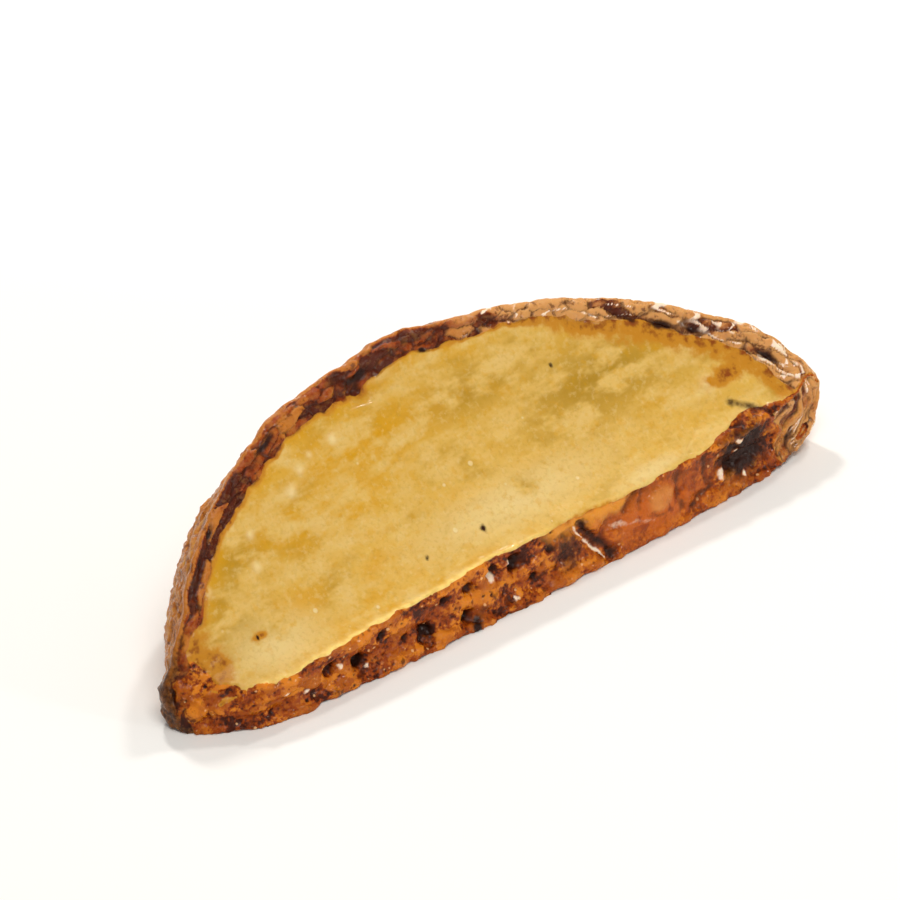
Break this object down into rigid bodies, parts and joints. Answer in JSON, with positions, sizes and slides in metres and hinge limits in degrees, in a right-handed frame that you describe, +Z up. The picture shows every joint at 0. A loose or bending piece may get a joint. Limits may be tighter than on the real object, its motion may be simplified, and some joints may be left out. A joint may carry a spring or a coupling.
{
  "type": "potato wedge",
  "caption": "Roasted skin-on potato wedge with a long browned and pitted ridge strip, lying on one of its cut faces.",
  "frame": {"origin": "on the lower cut face, which lies flat on the floor, about the middle of the wedge", "axes": "+X along the wedge towards its pointed end, +Y from the ridge strip towards the skin, +Z up"},
  "size_m": [0.0911, 0.0282, 0.0249],
  "materials": {
    "potato_wedge": "oily cooked potato flesh with browned skin, rim and ridge"
  },
  "bodies": {
    "root": {"potato_wedge": "potato_wedge"}
  },
  "joints": []
}
